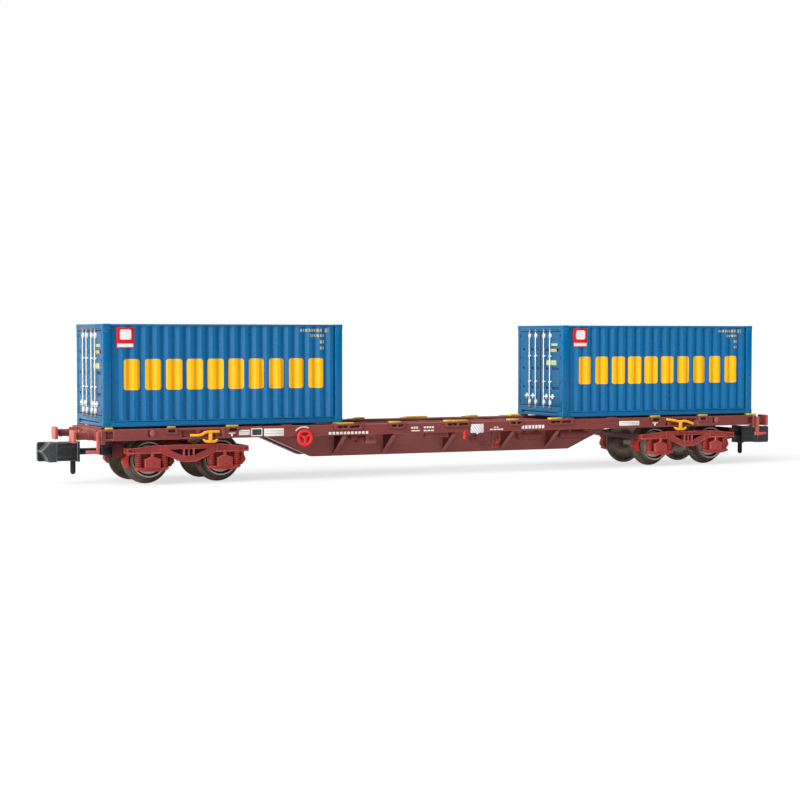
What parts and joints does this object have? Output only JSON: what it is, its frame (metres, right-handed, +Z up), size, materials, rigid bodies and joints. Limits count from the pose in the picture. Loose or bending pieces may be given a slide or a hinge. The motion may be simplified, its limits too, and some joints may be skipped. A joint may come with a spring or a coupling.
{
  "type": "model container flatcar",
  "caption": "Model bogie flatcar on rails: fish-bellied ladder frame on swivelling bogies, with blue corrugated box containers that lift off.",
  "frame": {"origin": "middle of the wagon, on the plane that the wheel flanges stand on", "axes": "+X along the wagon, away from the container door ends; +Y across it; +Z up"},
  "size_m": [0.1307, 0.0182, 0.0238],
  "materials": {
    "frame_brown": "satin moulded, oxide brown red",
    "bogie_red": "satin moulded, brownish red",
    "coral_red": "satin moulded, coral red",
    "bright_red": "painted bright red",
    "spigot_yellow": "painted yellow",
    "lever_yellow": "moulded orange yellow",
    "board_white": "printed white panel, blank",
    "screw_steel": "turned steel",
    "coupler_black": "moulded black",
    "wheel_metal": "blackened turned metal",
    "container_blue": "satin moulded blue",
    "rod_white": "printed white"
  },
  "bodies": {
    "wagon": {"side_sills": "frame_brown", "center_girders": "frame_brown", "end_stringers": "frame_brown", "headstocks": "frame_brown", "outriggers": "frame_brown", "cross_bearers": "frame_brown", "frame_bolsters": "frame_brown", "spigot_pads": "spigot_yellow", "spigot_brackets": "frame_brown", "buffer_casings": "frame_brown", "buffer_heads": "coral_red", "draw_hooks": "frame_brown", "corner_handles": "coral_red", "brake_handwheels": "bright_red", "changeover_levers": "lever_yellow", "release_levers": "bright_red", "air_reservoirs": "frame_brown", "brake_equipment": "frame_brown", "brake_pull_rod": "frame_brown", "marking_boards": "board_white", "instruction_plates": "board_white", "bogie_screws": "screw_steel"},
    "left_bogie": {"left_bogie_side_frames": "bogie_red", "left_bogie_cross_beams": "bogie_red", "left_bogie_axleboxes": "bogie_red", "left_bogie_springs": "bogie_red", "left_bogie_brakes": "bogie_red", "left_coupler_pocket": "coupler_black"},
    "left_outer_axle": {"left_outer_wheelset": "wheel_metal"},
    "left_inner_axle": {"left_inner_wheelset": "wheel_metal"},
    "left_coupler_swing": {"left_coupler": "coupler_black"},
    "left_container": {"left_container_frame": "container_blue", "left_container_walls": "container_blue", "left_container_roof": "container_blue", "left_container_floor": "container_blue", "left_container_doors": "container_blue", "left_container_lock_rods": "rod_white"},
    "right_bogie": {"right_bogie_side_frames": "bogie_red", "right_bogie_cross_beams": "bogie_red", "right_bogie_axleboxes": "bogie_red", "right_bogie_springs": "bogie_red", "right_bogie_brakes": "bogie_red", "right_coupler_pocket": "coupler_black"},
    "right_outer_axle": {"right_outer_wheelset": "wheel_metal"},
    "right_inner_axle": {"right_inner_wheelset": "wheel_metal"},
    "right_coupler_swing": {"right_coupler": "coupler_black"},
    "right_container": {"right_container_frame": "container_blue", "right_container_walls": "container_blue", "right_container_roof": "container_blue", "right_container_floor": "container_blue", "right_container_doors": "container_blue", "right_container_lock_rods": "rod_white"}
  },
  "joints": [
    {"name": "left_bogie_swivel", "type": "hinge", "parent": "wagon", "child": "left_bogie", "pos_m": [-0.04437, 0, 0.0062], "axis": [0, 0, 1], "range_deg": [-14, 14]},
    {"name": "left_outer_axle_roll", "type": "hinge", "parent": "left_bogie", "child": "left_outer_axle", "pos_m": [-0.05, 0, 0.00365], "axis": [0, 1, 0], "continuous": true},
    {"name": "left_inner_axle_roll", "type": "hinge", "parent": "left_bogie", "child": "left_inner_axle", "pos_m": [-0.03875, 0, 0.00365], "axis": [0, 1, 0], "continuous": true},
    {"name": "left_coupler_turn", "type": "hinge", "parent": "left_bogie", "child": "left_coupler_swing", "pos_m": [-0.05515, 0, 0.0048], "axis": [0, 0, 1], "range_deg": [-8, 8]},
    {"name": "left_container_lift", "type": "slide", "parent": "wagon", "child": "left_container", "axis": [0, 0, 1], "range_m": [0, 0.02]},
    {"name": "right_bogie_swivel", "type": "hinge", "parent": "wagon", "child": "right_bogie", "pos_m": [0.04437, 0, 0.0062], "axis": [0, 0, 1], "range_deg": [-14, 14]},
    {"name": "right_outer_axle_roll", "type": "hinge", "parent": "right_bogie", "child": "right_outer_axle", "pos_m": [0.05, 0, 0.00365], "axis": [0, 1, 0], "continuous": true},
    {"name": "right_inner_axle_roll", "type": "hinge", "parent": "right_bogie", "child": "right_inner_axle", "pos_m": [0.03875, 0, 0.00365], "axis": [0, 1, 0], "continuous": true},
    {"name": "right_coupler_turn", "type": "hinge", "parent": "right_bogie", "child": "right_coupler_swing", "pos_m": [0.05515, 0, 0.0048], "axis": [0, 0, 1], "range_deg": [-8, 8]},
    {"name": "right_container_lift", "type": "slide", "parent": "wagon", "child": "right_container", "axis": [0, 0, 1], "range_m": [0, 0.02]}
  ]
}
